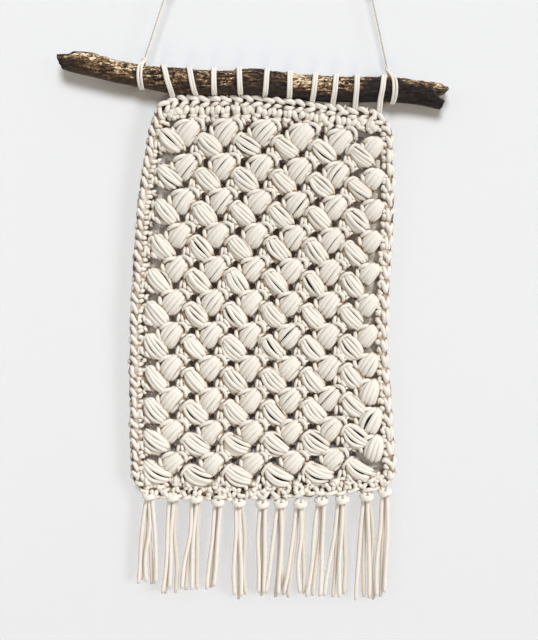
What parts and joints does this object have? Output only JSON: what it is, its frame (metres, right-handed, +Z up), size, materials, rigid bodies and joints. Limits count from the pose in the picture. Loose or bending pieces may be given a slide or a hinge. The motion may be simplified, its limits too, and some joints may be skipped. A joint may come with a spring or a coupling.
{
  "type": "crochet wall hanging on a driftwood branch",
  "caption": "Off-white crochet panel of slanting puff stitches with a border and fringe, laced to a driftwood branch that hangs by two threads.",
  "frame": {"origin": "midway between the tops of the two thread loops that the hanging is hung up by", "axes": "+Z up, +X to the right seen from the front, the front faces -Y and the wall lies on the +Y side"},
  "size_m": [0.3959, 0.0396, 0.624],
  "materials": {
    "yarn": "matt off-white tubular cotton yarn",
    "driftwood": "weathered dark driftwood with worn ochre patches",
    "thread": "thin natural thread"
  },
  "bodies": {
    "root": {"panel": "yarn", "branch": "driftwood", "lacing": "yarn", "tie_left": "yarn", "tie_right": "yarn", "thread_left": "thread", "thread_right": "thread", "thread_loop_left": "thread", "thread_loop_right": "thread", "tassel_01": "yarn", "tassel_02": "yarn", "tassel_03": "yarn", "tassel_04": "yarn", "tassel_05": "yarn", "tassel_06": "yarn", "tassel_07": "yarn", "tassel_08": "yarn", "tassel_09": "yarn", "tassel_10": "yarn", "tassel_11": "yarn", "tassel_12": "yarn"}
  },
  "joints": []
}
